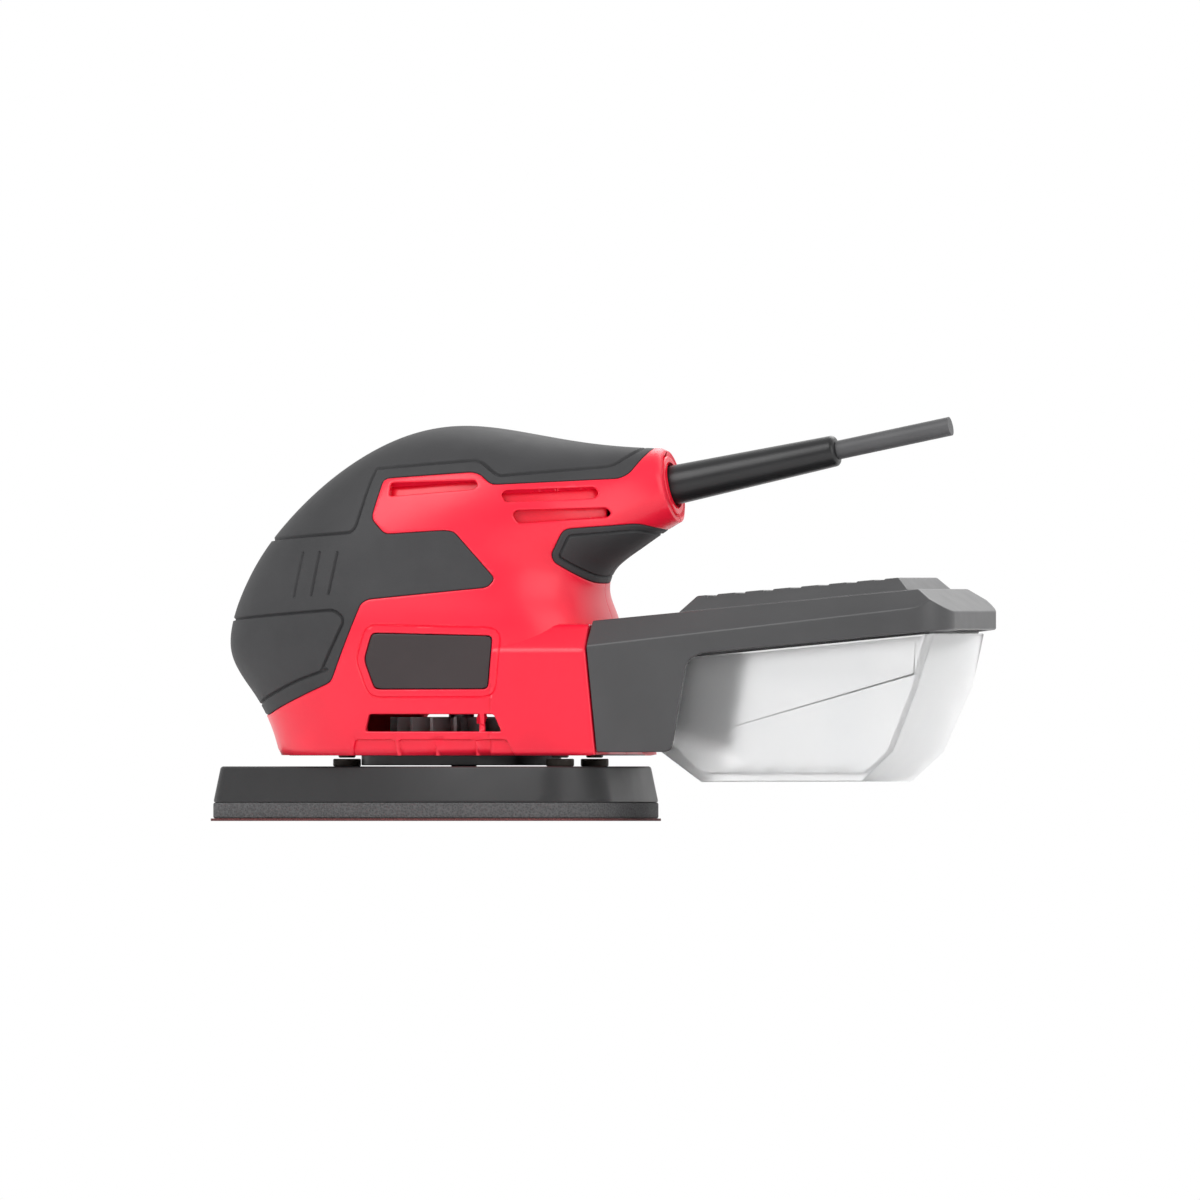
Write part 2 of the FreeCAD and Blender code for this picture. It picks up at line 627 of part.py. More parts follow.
def make_cup():
    cup = cup_form(0).cut(cup_form(CUP_WALL, 4.0))
    cup = cup.cut(Part.makeCylinder(SPOUT_R, 30, V(0, 0, SPOUT_Z), V(1, 0, 0)))
    foot = CUP_FLOOR_Z + CUP_WALL - 0.2
    ribs = [box(x - 1, x + 1, -12, 12, foot, 17.0) for x in CUP_RIBS_X]
    return fuse([cup] + ribs)


def make_cup_seal():
    return cup_form(1.2, 2.5).cut(cup_form(CUP_WALL, 6.0)).cut(cup_form(0))


# ---------------------------------------------------------------- spout between housing and box
def make_spout():
    tube = Part.makeCylinder(SPOUT_R, 14, V(-4, 0, SPOUT_Z), V(1, 0, 0))
    return tube.cut(Part.makeCylinder(SPOUT_R - SPOUT_WALL, 16, V(-5, 0, SPOUT_Z), V(1, 0, 0)))


def make_spout_seal():
    tube = Part.makeCylinder(SPOUT_R + 2.9, 20, V(0, 0, SPOUT_Z), V(1, 0, 0))
    tube = tube.cut(Part.makeCylinder(SPOUT_R, 22, V(-1, 0, SPOUT_Z), V(1, 0, 0)))
    edges = [(rear_face_x(z, x), z) for z, x in ((55, 0.0), (25, 0.0), (25, 1.6), (55, 1.6))]
    return tube.common(prism_y(edges))


# ---------------------------------------------------------------- export
def solids_of(shape):
    if isinstance(shape, list):
        return [solid for item in shape for solid in item.Solids]
    return shape.Solids


def export(name, shape):
    solids = solids_of(shape)
    group = solids[0] if len(solids) == 1 else Part.makeCompound(solids)
    if not solids or not group.isValid():
        print("PROBLEM", name, len(solids))
    group.exportStep("parts/%s.step" % name)


os.makedirs("parts", exist_ok=True)

housing = make_housing([front_grip(), rear_grip()])
skin_openings = [switch_opening()] + screw_recesses(GRIP_SCREWS)
badges = make_badges()
for side, half in (("left", left_half), ("right", right_half)):
    export("housing_" + side, half(housing))
    export("grip_" + side, cut_all(half(front_grip()), skin_openings))
    export("rear_grip_" + side, half(rear_grip()))
    export("badge_" + side, half(badges))
export("vent_baffles", make_baffles(housing))
export("base_plate", make_base_plate())
export("dust_seal", make_dust_seal())
export("platen_posts", make_posts())
export("housing_screws", make_housing_screws())
export("dust_spout", make_spout())
export("spout_seal", make_spout_seal())

stator_core, stator_coils = make_stator()
export("stator_core", stator_core)
export("stator_coils", stator_coils)
export("lower_bearing", ring(BEARING_R, SHAFT_R + RUN, LOWER_BEARING_Z, LOWER_BEARING_Z + BEARING_W))
export("upper_bearing", ring(UPPER_BEARING_R, SHAFT_R + RUN, UPPER_BEARING_Z,
                              UPPER_BEARING_Z + UPPER_BEARING_W))
export("bearing_cup", ring(BEARING_CUP_R, UPPER_BEARING_R, UPPER_BEARING_Z,
                           UPPER_BEARING_Z + UPPER_BEARING_W + 0.5))
brush_holders, carbon_brushes, brush_springs = make_brushes()
export("brush_holders", brush_holders)
export("carbon_brushes", carbon_brushes)
export("brush_springs", brush_springs)

export("motor_shaft", cyl(SHAFT_R, *SHAFT_Z))
export("armature_core", make_armature())
export("armature_windings", make_windings())
export("commutator", ring(COMMUTATOR_R, SHAFT_R, *COMMUTATOR_Z))
export("fan", make_fan())
export("eccentric", make_eccentric())
screw_z = PAD_BEARING_Z[0] - GAP
export("eccentric_screw", cyl(3.5, screw_z - 1.5, screw_z, PIN_X).fuse(cyl(2.0, screw_z, 16.0, PIN_X)))

switch_frame, switch_rocker = make_switch()
export("switch_frame", switch_frame)
export("switch_rocker", switch_rocker)
export("capacitor", box(-96, -82, -8, 8, 44, 58))
export("inner_wires", make_wires())
export("cord_clamp", make_clamp())
export("cord_boot", make_boot())
export("cord_lead_in", cord_cylinder(CORD_R, -22.0, BOOT_LENGTH))
export("power_cord", cord_cylinder(CORD_R, BOOT_LENGTH, BOOT_LENGTH + CORD_LENGTH))

export("eccentric_bearing", ring(BEARING_R, SHAFT_R + RUN, *PAD_BEARING_Z, PIN_X))
export("platen", make_platen())
export("backing_pad", cut_all(pad_layer(0.8, SHEET_T, FOAM_TOP), dust_holes()))
export("sanding_sheet", cut_all(pad_layer(0.0, 0.0, SHEET_T), dust_holes()))
export("post_washers", make_post_washers())

export("dust_box_frame", make_dust_frame())
export("vent_cover", make_vent_cover())
filter_frame, filter_pleats = make_filter()
export("filter_frame", filter_frame)
export("filter_pleats", filter_pleats)
export("dust_cup", make_cup())
export("cup_seal", make_cup_seal())
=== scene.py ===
"""Looks of the detail mouse sander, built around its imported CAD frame. Metres, in the CAD's own frame."""
import bpy
import bmesh
import json
import math
import numpy as np
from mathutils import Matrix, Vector
from mathutils.bvhtree import BVHTree

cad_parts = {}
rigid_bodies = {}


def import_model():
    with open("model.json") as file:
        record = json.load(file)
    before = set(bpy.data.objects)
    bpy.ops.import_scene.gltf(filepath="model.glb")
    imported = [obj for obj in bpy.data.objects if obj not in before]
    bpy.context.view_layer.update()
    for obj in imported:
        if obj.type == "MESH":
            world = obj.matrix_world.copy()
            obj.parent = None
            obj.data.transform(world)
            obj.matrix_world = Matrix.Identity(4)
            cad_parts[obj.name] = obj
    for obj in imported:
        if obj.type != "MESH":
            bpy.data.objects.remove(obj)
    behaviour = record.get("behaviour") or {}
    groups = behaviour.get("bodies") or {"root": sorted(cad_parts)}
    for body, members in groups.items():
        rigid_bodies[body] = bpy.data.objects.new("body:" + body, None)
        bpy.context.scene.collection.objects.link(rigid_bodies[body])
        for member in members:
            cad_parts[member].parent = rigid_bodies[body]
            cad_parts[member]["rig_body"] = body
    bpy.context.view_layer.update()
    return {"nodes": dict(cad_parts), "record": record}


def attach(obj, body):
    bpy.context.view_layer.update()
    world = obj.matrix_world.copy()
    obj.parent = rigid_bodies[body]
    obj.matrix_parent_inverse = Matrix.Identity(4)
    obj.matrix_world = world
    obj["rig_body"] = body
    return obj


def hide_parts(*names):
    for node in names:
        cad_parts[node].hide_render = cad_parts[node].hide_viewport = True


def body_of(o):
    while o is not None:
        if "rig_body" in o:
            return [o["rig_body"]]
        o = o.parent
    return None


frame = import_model()
SLOTS = {s["node"]: s["material_slot"] for s in frame["record"]["subparts"]}
MM = 0.001

# ---------------------------------------------------------------- driving sizes, in millimetres
WALL = 3.0
SKIN = 1.5
CORD_DIAMETER = 6.0
CORD_LENGTH = 37.5
CORD_AXIS_DEG = 11.65
COLLAR_POS = Vector((26.5, 0, 105.8))
COLLAR_R = 11.75
COLLAR_BORE_R = 7.3
BOOT_LENGTH = 54.4
BOOT_BORE_R = 3.0
BOOT_END_R = 1.6           # of the rounding at the boot's thin end
CORD_DIR = Vector((math.cos(math.radians(CORD_AXIS_DEG)), 0, math.sin(math.radians(CORD_AXIS_DEG))))
BODY_Z = 20.6
SHOULDER_X = -24.0
SHOULDER_HALF_WIDTH = (36.6, 38.0)    # at SHOULDER_X and at SHOULDER_REAR_X
SHOULDER_REAR_X = 12.0
SHOULDER_TOP = 62.0
CHAMFER = 8.0
REAR_FACE_X, REAR_FACE_Z = 7.2, 56.0  # a point of the shoulder's rear face
REAR_FACE_LEAN = 0.1                  # how far that face comes back per unit down
HOUSING_MIDDLE = Vector((-43, 0, 60))
SPOUT_Z = 41.0
SPOUT_R = 8.5
RED = (0.92, 0.007, 0.038, 1)
RUBBER = (0.036, 0.036, 0.038, 1)
GREY = (0.056, 0.056, 0.058, 1)


# ---------------------------------------------------------------- materials
def new_material(name):
    material = bpy.data.materials.new(name)
    material.use_nodes = True
    return material, material.node_tree, material.node_tree.nodes["Principled BSDF"]


def coordinates(tree):
    """Object-space coordinates; every piece is modelled at its true size."""
    return tree.nodes.new("ShaderNodeTexCoord").outputs["Object"]


def add_bump(tree, shader, height, strength, distance):
    relief = tree.nodes.new("ShaderNodeBump")
    relief.inputs["Strength"].default_value = strength
    relief.inputs["Distance"].default_value = distance
    tree.links.new(height, relief.inputs["Height"])
    tree.links.new(relief.outputs["Normal"], shader.inputs["Normal"])


def noise_node(tree, scale, detail=4.0):
    node = tree.nodes.new("ShaderNodeTexNoise")
    node.inputs["Scale"].default_value = scale
    node.inputs["Detail"].default_value = detail
    tree.links.new(coordinates(tree), node.inputs["Vector"])
    return node


def ramp(tree, source, low, high, start=0.35, end=0.65):
    node = tree.nodes.new("ShaderNodeValToRGB")
    node.color_ramp.elements[0].position = start
    node.color_ramp.elements[1].position = end
    node.color_ramp.elements[0].color = low
    node.color_ramp.elements[1].color = high
    tree.links.new(source, node.inputs["Fac"])
    return node.outputs["Color"]


def scaled(colour, factor):
    return tuple(c * factor for c in colour[:3]) + (1,)


def plastic(name, colour, rough=(0.32, 0.42), grain=1800.0, bump=0.10, vary=0.06, coat=0.0, wear=0.0,
            metallic=0.0):
    """Moulded surface: fine grain in the bump, soft colour drift, roughness that follows handling."""
    material, tree, shader = new_material(name)
    drift = noise_node(tree, 45.0)
    base = ramp(tree, drift.outputs["Fac"], scaled(colour, 1 - vary), scaled(colour, 1 + vary))
    if wear:
        geometry = tree.nodes.new("ShaderNodeNewGeometry")
        edge = ramp(tree, geometry.outputs["Pointiness"], (0, 0, 0, 1), (1, 1, 1, 1), 0.52, 0.60)
        mix = tree.nodes.new("ShaderNodeMix")
        mix.data_type = "RGBA"
        strength = tree.nodes.new("ShaderNodeMath")
        strength.operation = "MULTIPLY"
        strength.inputs[1].default_value = wear
        tree.links.new(edge, strength.inputs[0])
        tree.links.new(strength.outputs[0], mix.inputs[0])
        tree.links.new(base, mix.inputs[6])
        mix.inputs[7].default_value = tuple(min(1, c * 1.5 + 0.05) for c in colour[:3]) + (1,)
        base = mix.outputs[2]
    tree.links.new(base, shader.inputs["Base Color"])
    patch = noise_node(tree, 130.0)
    spread = tree.nodes.new("ShaderNodeMapRange")
    spread.inputs["To Min"].default_value, spread.inputs["To Max"].default_value = rough
    tree.links.new(patch.outputs["Fac"], spread.inputs["Value"])
    tree.links.new(spread.outputs["Result"], shader.inputs["Roughness"])
    fine = noise_node(tree, grain, 2.0)
    add_bump(tree, shader, fine.outputs["Fac"], bump, 0.00006)
    shader.inputs["Coat Weight"].default_value = coat
    shader.inputs["Coat Roughness"].default_value = 0.2
    shader.inputs["Metallic"].default_value = metallic
    return material


def cells(name, colour, size, depth=0.0004, rough=0.9, contrast=0.5):
    """Foam cells, abrasive grains or paper fibres: a Voronoi surface."""
    material, tree, shader = new_material(name)
    voronoi = tree.nodes.new("ShaderNodeTexVoronoi")
    voronoi.inputs["Scale"].default_value = size
    tree.links.new(coordinates(tree), voronoi.inputs["Vector"])
    base = ramp(tree, voronoi.outputs["Distance"], scaled(colour, 1 - contrast),
                scaled(colour, 1 + contrast), 0.0, 0.8)
    tree.links.new(base, shader.inputs["Base Color"])
    add_bump(tree, shader, voronoi.outputs["Distance"], 0.6, depth)
    shader.inputs["Roughness"].default_value = rough
    return material


def striped_metal(name, colour, pitch, axis=2, rough=0.4, contrast=0.35):
    """Turned, laminated or wound metal: fine bands along one axis."""
    material, tree, shader = new_material(name)
    wave = tree.nodes.new("ShaderNodeTexWave")
    wave.bands_direction = "XYZ"[axis]
    wave.inputs["Scale"].default_value = 1.0 / pitch / 3.2
    wave.inputs["Distortion"].default_value = 0.6
    tree.links.new(coordinates(tree), wave.inputs["Vector"])
    base = ramp(tree, wave.outputs["Fac"], scaled(colour, 1 - contrast), colour, 0.1, 0.6)
    tree.links.new(base, shader.inputs["Base Color"])
    add_bump(tree, shader, wave.outputs["Fac"], 0.4, 0.0002)
    shader.inputs["Metallic"].default_value = 1.0
    shader.inputs["Roughness"].default_value = rough
    return material


def clear_plastic():
    """Milky clear moulding with a faint haze of fine dust."""
    material, tree, shader = new_material("clear_cup")
    haze = noise_node(tree, 60.0)
    base = ramp(tree, haze.outputs["Fac"], (0.96, 0.965, 0.97, 1), (1.0, 1.0, 1.0, 1), 0.3, 0.7)
    tree.links.new(base, shader.inputs["Base Color"])
    shader.inputs["Transmission Weight"].default_value = 0.9
    shader.inputs["Roughness"].default_value = 0.3
    shader.inputs["IOR"].default_value = 1.2
    fine = noise_node(tree, 900.0, 2.0)
    add_bump(tree, shader, fine.outputs["Fac"], 0.05, 0.0001)
    return material


MATERIALS = {
    "red_plastic": plastic("red_shell", RED, (0.30, 0.40), 2400, 0.14, 0.04, 0.15, 0.25),
    "soft_grip": plastic("soft_grip", RUBBER, (0.58, 0.72), 1500, 0.45, 0.10),
    "dark_plate": plastic("side_plate", (0.036, 0.026, 0.027, 1), (0.42, 0.52), 2200, 0.15, 0.08),
    "dark_plastic": plastic("dark_moulding", (0.021, 0.021, 0.022, 1), (0.38, 0.50), 2000, 0.2, 0.10, 0, 0.2),
    "black_rubber": plastic("black_rubber", (0.012, 0.012, 0.013, 1), (0.28, 0.38), 1600, 0.3, 0.15),
    "post_rubber": plastic("post_rubber", (0.17, 0.14, 0.12, 1), (0.5, 0.6), 1500, 0.25, 0.12),
    "cord_jacket": plastic("cord_jacket", (0.080, 0.080, 0.083, 1), (0.45, 0.55), 1500, 0.2, 0.1),
    "grey_plastic": plastic("grey_shell", GREY, (0.33, 0.44), 2100, 0.22, 0.07, 0.05, 0.2),
    "fan_plastic": plastic("fan_moulding", (0.62, 0.62, 0.63, 1), (0.4, 0.5), 2000, 0.15),
    "capacitor_case": plastic("capacitor_case", (0.72, 0.55, 0.08, 1), (0.25, 0.35), 1200, 0.1),
    "wire_insulation": plastic("wire_insulation", (0.07, 0.12, 0.48, 1), (0.35, 0.45), 1200, 0.1),
    "carbon": plastic("carbon_block", (0.04, 0.04, 0.042, 1), (0.6, 0.8), 3000, 0.4, 0.2),
    "cast_weight": plastic("cast_weight", (0.30, 0.30, 0.31, 1), (0.5, 0.7), 1400, 0.6, 0.15, metallic=1.0),
    "brass": striped_metal("brass_strip", (0.72, 0.52, 0.22, 1), 0.0009, 0, 0.35, 0.15),
    "steel": striped_metal("turned_steel", (0.62, 0.62, 0.64, 1), 0.0005, 2, 0.28, 0.12),
    "laminations": striped_metal("laminations", (0.36, 0.36, 0.39, 1), 0.0005, 2, 0.5, 0.45),
    "copper": striped_metal("copper_winding", (0.72, 0.28, 0.12, 1), 0.0006, 2, 0.35, 0.5),
    "pad_foam": cells("pad_foam", (0.090, 0.090, 0.092, 1), 1400, 0.0003, 0.9, 0.35),
    "abrasive": cells("abrasive_grain", (0.125, 0.040, 0.040, 1), 2600, 0.0003, 0.85, 0.6),
    "filter_paper": cells("filter_paper", (0.72, 0.69, 0.60, 1), 1900, 0.0001, 0.95, 0.12),
    "clear_plastic": clear_plastic(),
}


def give_cad_materials():
    for name, node in frame["nodes"].items():
        material = MATERIALS[SLOTS[name]]
        for slot in node.material_slots:
            slot.material = material
        if not node.material_slots:
            node.data.materials.append(material)


# ---------------------------------------------------------------- stage, light and camera
def make_stage():
    bpy.ops.mesh.primitive_plane_add(size=12)
    floor = bpy.context.object
    floor.name = "floor"
    material, _, shader = new_material("pale_floor")
    shader.inputs["Base Color"].default_value = (0.90, 0.90, 0.90, 1)
    shader.inputs["Roughness"].default_value = 0.9
    floor.data.materials.append(material)
    world = bpy.data.worlds.new("pale_world")
    world.use_nodes = True
    light_by_direction(world.node_tree)
    bpy.context.scene.world = world
    bpy.context.scene.view_settings.view_transform = "Standard"


def light_by_direction(tree):
    """A white surround, brightest behind the tool and dimmer overhead and in front of the nose."""
    place = tree.nodes.new("ShaderNodeTexCoord")
    towards = tree.nodes.new("ShaderNodeVectorMath")
    towards.operation = "DOT_PRODUCT"
    towards.inputs[1].default_value = (0.30, 0.90, -0.30)
    tree.links.new(place.outputs["Generated"], towards.inputs[0])
    spread = tree.nodes.new("ShaderNodeMapRange")
    for socket, value in (("From Min", -0.9), ("From Max", 0.45), ("To Min", 0.42), ("To Max", 1.0)):
        spread.inputs[socket].default_value = value
    tree.links.new(towards.outputs["Value"], spread.inputs["Value"])
    path = tree.nodes.new("ShaderNodeLightPath")
    brighter = tree.nodes.new("ShaderNodeMath")
    brighter.operation = "MAXIMUM"
    tree.links.new(spread.outputs["Result"], brighter.inputs[0])
    tree.links.new(path.outputs["Is Camera Ray"], brighter.inputs[1])
    background = tree.nodes["Background"]
    background.inputs["Color"].default_value = (1, 1, 1, 1)
    tree.links.new(brighter.outputs[0], background.inputs["Strength"])


def make_light(name, place, size, power):
    data = bpy.data.lights.new(name, "AREA")
    data.size = size
    data.energy = power
    light = bpy.data.objects.new(name, data)
    light.location = place
    light.rotation_euler = (Vector((0, 0, 0.06)) - Vector(place)).to_track_quat("-Z", "Y").to_euler()
    bpy.context.collection.objects.link(light)


def make_camera():
    """Level with the tool, turned a little towards its rear, with no perspective."""
    azimuth, distance, width = math.radians(15), 1.6, 0.378
    aside, height = 0.0021, 0.0696
    data = bpy.data.cameras.new("camera")
    data.type = "ORTHO"
    data.ortho_scale = width
    data.clip_start, data.clip_end = 0.01, 20
    camera = bpy.data.objects.new("camera", data)
    back = Vector((math.sin(azimuth), -math.cos(azimuth), 0))
    right = Vector((math.cos(azimuth), math.sin(azimuth), 0))
    camera.location = back * distance + right * aside + Vector((0, 0, height))
    camera.rotation_euler = (-back).to_track_quat("-Z", "Y").to_euler()
    bpy.context.collection.objects.link(camera)
    bpy.context.scene.camera = camera


# ---------------------------------------------------------------- cord
def make_cord():
    start = (COLLAR_POS + CORD_DIR * BOOT_LENGTH) * MM
    count = 5
    curve = bpy.data.curves.new("power_cord_line", "CURVE")
    curve.dimensions = "3D"
    spline = curve.splines.new("NURBS")
    spline.points.add(count - 1)
    for i in range(count):
        place = start + CORD_DIR * (CORD_LENGTH * MM * i / (count - 1))
        spline.points[i].co = (*place, 1)
    spline.order_u = 3
    spline.use_endpoint_u = True
    curve.bevel_depth = CORD_DIAMETER * MM / 2
    curve.bevel_resolution = 8
    curve.use_fill_caps = True
    piece = bpy.data.objects.new("cord_stub", curve)
    bpy.context.collection.objects.link(piece)
    curve.materials.append(MATERIALS["cord_jacket"])
    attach(piece, "root")
    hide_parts("power_cord")


# ---------------------------------------------------------------- housing skin
SECTION_POINTS = 16
POLE_SPREAD = 3.0 / (2.0 + math.cos(2 * math.pi / SECTION_POINTS))
ROWS_ALONG, ROWS_ROUND = 190, 120     # quads from base to collar, and round one half
# Outer point, inner point (X, Z) and half width of the housing's sections, from base to collar.
SECTIONS = [
    ((-101.0, 20.6), (8.5, 20.6), 36.5), ((-103.8, 33.4), (8.0, 33.0), 37.0),
    ((-113.9, 45.4), (7.4, 45.0), 37.5), ((-117.8, 54.0), (6.8, 55.0), 38.0),
    ((-116.5, 63.0), (6.2, 63.0), 38.0), ((-113.9, 70.6), (3.2, 70.0), 37.0),
    ((-108.7, 81.3), (3.3, 75.0), 36.0), ((-100.8, 92.3), (6.0, 79.4), 35.5),
    ((-85.2, 108.0), (8.7, 81.6), 34.5), ((-64.3, 121.0), (11.3, 83.5), 33.0),
    ((-43.5, 125.7), (14.0, 85.2), 30.0), ((-22.6, 122.5), (17.0, 87.2), 25.0),
    ((-1.7, 118.6), (21.0, 89.8), 18.5), ((13.9, 117.5), (26.0, 93.0), 13.5),
]
GRIP_EDGE = [
    (20.2, 117.3), (15.6, 109.7), (12.8, 108.0), (-24.9, 106.0), (-28.8, 109.3), (-31.4, 110.0),
    (-60.9, 108.0), (-63.8, 95.4), (-58.9, 90.4), (-39.4, 91.6), (-36.2, 91.2), (-23.2, 76.4),
    (-25.3, 73.6), (-64.0, 69.8), (-66.1, 68.4), (-76.3, 43.7), (-101.7, 33.4),
    (-140.0, 33.4), (-140.0, 140.0), (20.2, 140.0),
]
REAR_GRIP_EDGE = [
    (-2.3, 91.9), (18.4, 93.6), (24.9, 91.4), (30.0, 84.0), (14.0, 74.6), (5.6, 74.6),
    (3.4, 74.8), (-5.9, 81.4), (-6.5, 83.9),
]
VENTS = [
    [(-58.3, 106.6), (-30.0, 107.4), (-29.2, 105.6), (-30.2, 104.6), (-58.3, 102.4)],
    [(-21.6, 103.0), (-20.3, 104.3), (5.9, 105.3), (7.3, 103.4), (6.4, 101.8), (-20.2, 100.5)],
    [(-17.8, 96.6), (-16.6, 97.9), (9.9, 98.7), (11.3, 96.9), (10.2, 95.6), (-16.0, 93.7)],
]
BADGE = [(-64.9, 50.7), (-62.3, 59.3), (-23.2, 58.4), (-24.7, 41.5), (-61.6, 41.4)]
WINDOW = [(-65.0, 28.2), (-63.5, 33.6), (-22.8, 33.6), (-20.3, 28.2)]
WINDOW_RIB = (-27.5, -25.8)
SKIRT = [(-68.4, 25.8), (-18.6, 25.8), (-15.2, 20.0), (-70.0, 20.0)]
SKIRT_RIBS = (-54.0, -41.0, -28.0)
GROOVES = [
    [(-64.3, 111.0), (-29.8, 113.8), (-24.1, 109.5), (-22.5, 108.8), (10.1, 111.8), (16.9, 117.3)],
    [(-64.3, 111.0), (-65.6, 106.5), (-68.8, 92.9), (-70.3, 90.9), (-112.0, 88.0)],
    [(-122.0, 63.0), (-75.0, 66.5), (-72.1, 64.3), (-71.8, 62.4), (-79.4, 47.2)],
    [(-108.0, 36.0), (-88.1, 44.2), (-77.4, 47.7)],
]
GRIP_BARS = [((-87.0, 84.6), (-89.3, 70.8)), ((-81.0, 84.6), (-83.1, 71.1)),
             ((-74.7, 84.6), (-77.1, 71.5))]
SCREWS = [(-96.0, 36.0), (-84.0, 92.0), (-50.0, 115.0), (-8.0, 112.0), (-8.0, 64.0)]
SCREW_RECESS_R = 3.2
SWITCH_HALF_HEIGHT, SWITCH_HALF_WIDTH = 12.4, 8.4
FAR_OUTSIDE = 20.0         # a field's value away from the end of the tool that it describes
ON_LINE = 0.012            # a point nearer than this to a line lies on it
SWITCH_POS = np.array((-110.8, 77.0))
SWITCH_UP = np.array((0.43, 0.9)) / math.hypot(0.43, 0.9)


def spline_basis(knots, t):
    """Weights of the cubic control points at t."""
    count = len(knots) - 4
    last = np.searchsorted(knots, knots[-1]) - 1
    weights = np.zeros(len(knots) - 1)
    span = min(int(np.searchsorted(knots, t, side="right")) - 1, last)
    weights[span] = 1.0
    for degree in range(1, 4):
        for i in range(len(knots) - 1 - degree):
            left = knots[i + degree] - knots[i]
            right = knots[i + degree + 1] - knots[i + 1]
            a = (t - knots[i]) / left * weights[i] if left else 0.0
            b = (knots[i + degree + 1] - t) / right * weights[i + 1] if right else 0.0
            weights[i] = a + b
    return weights[:count]


def section_fullness(index):
    """How square a section is towards its outer and its inner point: 2 is an ellipse."""
    blend = min(max((index - 4) / 3.0, 0.0), 1.0)
    return 2.2 + 0.1 * blend, 3.2 - 0.9 * blend


def section_poles(outer, inner, half_width, fullness):
    half = (outer - inner) / 2
    points = []
    for i in range(SECTION_POINTS):
        t = 2 * math.pi * i / SECTION_POINTS
        c, s = math.cos(t), math.sin(t)
        power = 2.0 / (fullness[0] if c > 0 else fullness[1])
        along = math.copysign(abs(c) ** power, c) * POLE_SPREAD
        across = math.copysign(abs(s) ** power, s) * POLE_SPREAD
        points.append((outer + inner) / 2 + half * along + Vector((0, half_width * across, 0)))
    return points


def half_grid():
    """Points of the +Y half of the housing's outer form, from base to collar."""
    rows = [section_poles(Vector((o[0], 0, o[1])), Vector((i[0], 0, i[1])), w, section_fullness(n))
            for n, (o, i, w) in enumerate(SECTIONS)]
    up = Vector((-CORD_DIR.z, 0, CORD_DIR.x)) * COLLAR_R
    rows.append(section_poles(COLLAR_POS + up, COLLAR_POS - up, COLLAR_R, (2.0, 2.0)))
    poles = np.array([[p[:] for p in row] for row in rows])
    spans = len(rows) - 3
    knots = np.array([0.0] * 3 + list(range(spans + 1)) + [spans] * 3)
    along = np.array([spline_basis(knots, spans * i / ROWS_ALONG) for i in range(ROWS_ALONG + 1)])
    around = np.zeros((ROWS_ROUND + 1, SECTION_POINTS))
    for j in range(ROWS_ROUND + 1):
        at = SECTION_POINTS / 2 * j / ROWS_ROUND
        i, f = int(at), at - int(at)
        for k, w in ((-1, (1 - f) ** 3), (0, 3 * f ** 3 - 6 * f ** 2 + 4),
                     (1, -3 * f ** 3 + 3 * f ** 2 + 3 * f + 1), (2, f ** 3)):
            around[j, (i + k) % SECTION_POINTS] += w / 6
    return np.einsum("ai,bj,ijk->abk", along, around, poles)


def polygon_distance(points, outline):
    """Signed distance in the side view: positive inside the closed outline."""
    inside = np.zeros(len(points), bool)
    nearest = line_distance(points, outline + outline[:1])
    for (x0, z0), (x1, z1) in zip(outline, outline[1:] + outline[:1]):
        crosses = (points[:, 2] < z0) != (points[:, 2] < z1)
        if z0 != z1:
            at = x0 + (points[:, 2] - z0) * (x1 - x0) / (z1 - z0)
            inside ^= crosses & (points[:, 0] < at)
    return np.where(inside, nearest, -nearest)


def line_distance(points, line):
    best = np.full(len(points), 1e9)
    flat = points[:, [0, 2]]
    for start, end in zip(line, line[1:]):
        a, b = np.array(start), np.array(end)
        t = np.clip(((flat - a) @ (b - a)) / ((b - a) @ (b - a)), 0, 1)
        best = np.minimum(best, np.linalg.norm(flat - a - t[:, None] * (b - a), axis=1))
    return best


def arc_corners(outline, reach, closed=True):
    """The outline with a short curve in place of each corner, reaching that far along both sides."""
    points = []
    last = len(outline) - 1
    for i, corner in enumerate(outline):
        here = np.array(corner)
        if not closed and i in (0, last):
            points.append(tuple(here))
            continue
        arms = [np.array(outline[i - 1]) - here, np.array(outline[(i + 1) % (last + 1)]) - here]
        lengths = [np.linalg.norm(arm) for arm in arms]
        cut = min(reach, 0.4 * lengths[0], 0.4 * lengths[1])
        start, end = (here + arm / length * cut for arm, length in zip(arms, lengths))
        for t in (0.0, 0.33, 0.67, 1.0):
            points.append(tuple((1 - t) ** 2 * start + 2 * t * (1 - t) * here + t * t * end))
    return points


def switch_distance(points):
    """Positive outside the switch opening at the front."""
    height = np.abs((points[:, [0, 2]] - SWITCH_POS) @ SWITCH_UP) - SWITCH_HALF_HEIGHT
    width = np.abs(points[:, 1]) - SWITCH_HALF_WIDTH
    return np.where(points[:, 0] < -90, np.maximum(height, width), FAR_OUTSIDE)


def screw_distance(points):
    spots = [np.hypot(points[:, 0] - x, points[:, 2] - z) for x, z in SCREWS]
    return np.minimum.reduce(spots) - SCREW_RECESS_R


def rounded(distance, radius):
    """How far a surface drops near an edge that is rounded off."""
    t = np.clip(distance / radius, 0, 1)
    return radius * (1 - np.sqrt(1 - (1 - t) ** 2))


def channel(distance, half_width, depth):
    t = np.clip(distance / half_width, 0, 1)
    return depth * (1 - t * t) ** 2


